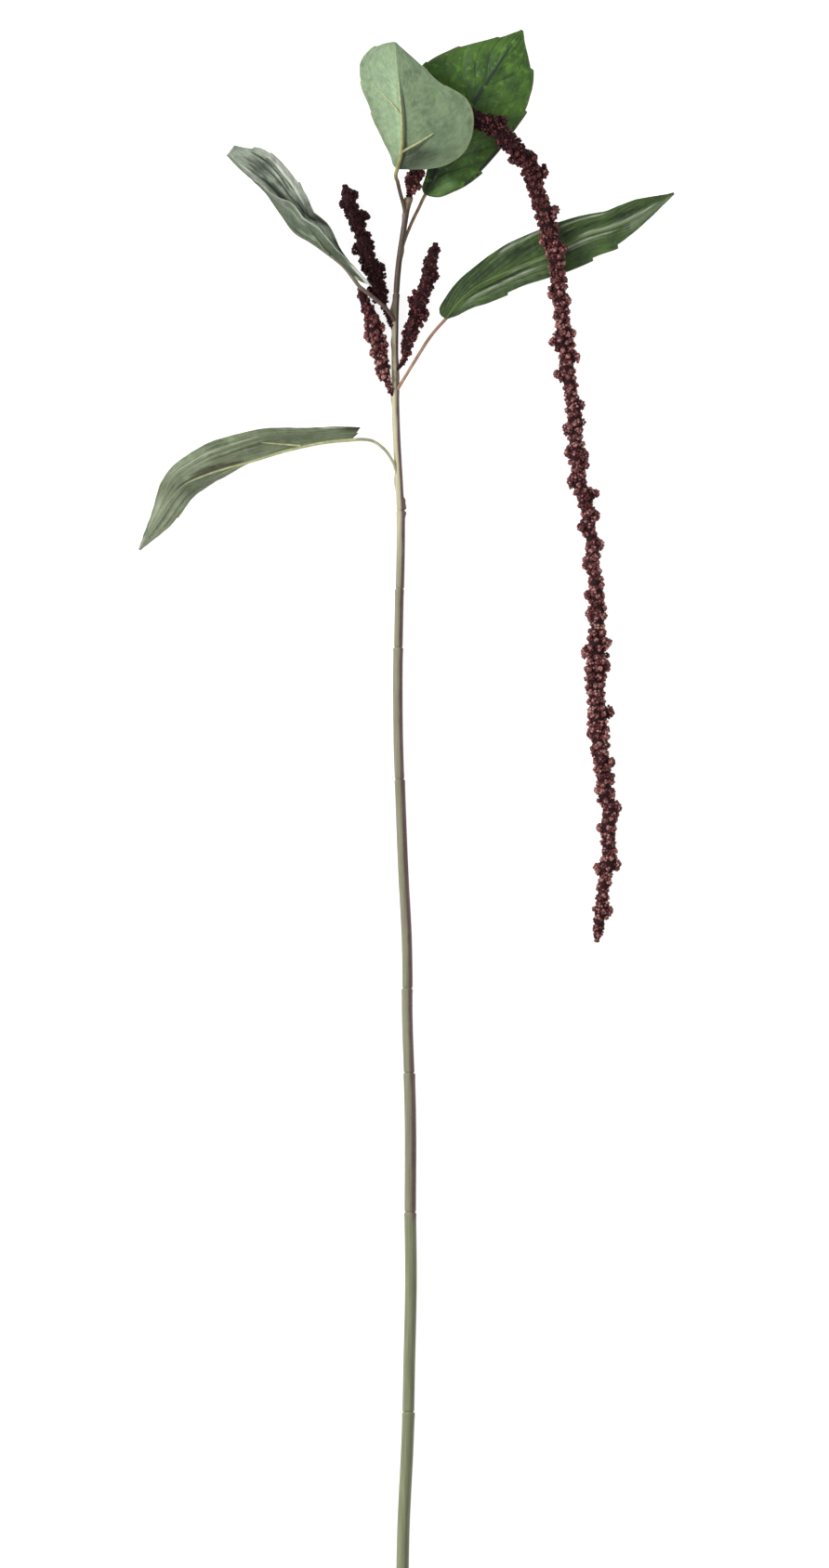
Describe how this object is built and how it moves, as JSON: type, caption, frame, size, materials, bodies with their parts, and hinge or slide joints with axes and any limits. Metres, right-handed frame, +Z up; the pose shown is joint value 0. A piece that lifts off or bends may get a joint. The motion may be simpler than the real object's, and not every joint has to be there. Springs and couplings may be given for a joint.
{
  "type": "amaranth seed head spray",
  "caption": "Artificial amaranth spray lying flat: a long jointed stem with leaves, short seed spikes and one long hanging seed tassel.",
  "frame": {"origin": "on the flat underside of the stem, on the surface it lies on, halfway along the spray", "axes": "+Y along the stem towards its forked top, +X to the side the tassel hangs on, +Z up from the surface"},
  "size_m": [0.3459, 1.0009, 0.0351],
  "materials": {
    "stem": "satin moulded, olive with a mauve-brown side",
    "leaf_pale": "matte woven, pale underside",
    "leaf_green": "satin coated fabric, mottled",
    "leaf_grey": "matte woven, grey-green",
    "leaf_dark": "satin coated fabric",
    "stalk": "satin moulded",
    "seeds": "grainy, dark burgundy"
  },
  "bodies": {
    "root": {"stem": "stem", "leaf_blade_crown_front": "leaf_pale", "leaf_blade_crown_back": "leaf_green", "leaf_blade_upper_left": "leaf_grey", "leaf_blade_right": "leaf_dark", "leaf_blade_lower_left": "leaf_grey", "leaf_stalk_crown_front": "stalk", "leaf_stalk_crown_back": "stalk", "leaf_stalk_upper_left": "stalk", "leaf_stalk_right": "stalk", "leaf_stalk_lower_left": "stalk", "seed_spike_upper_left": "seeds", "seed_spike_lower_left": "seeds", "seed_spike_right": "seeds", "seed_tassel": "seeds"}
  },
  "joints": []
}
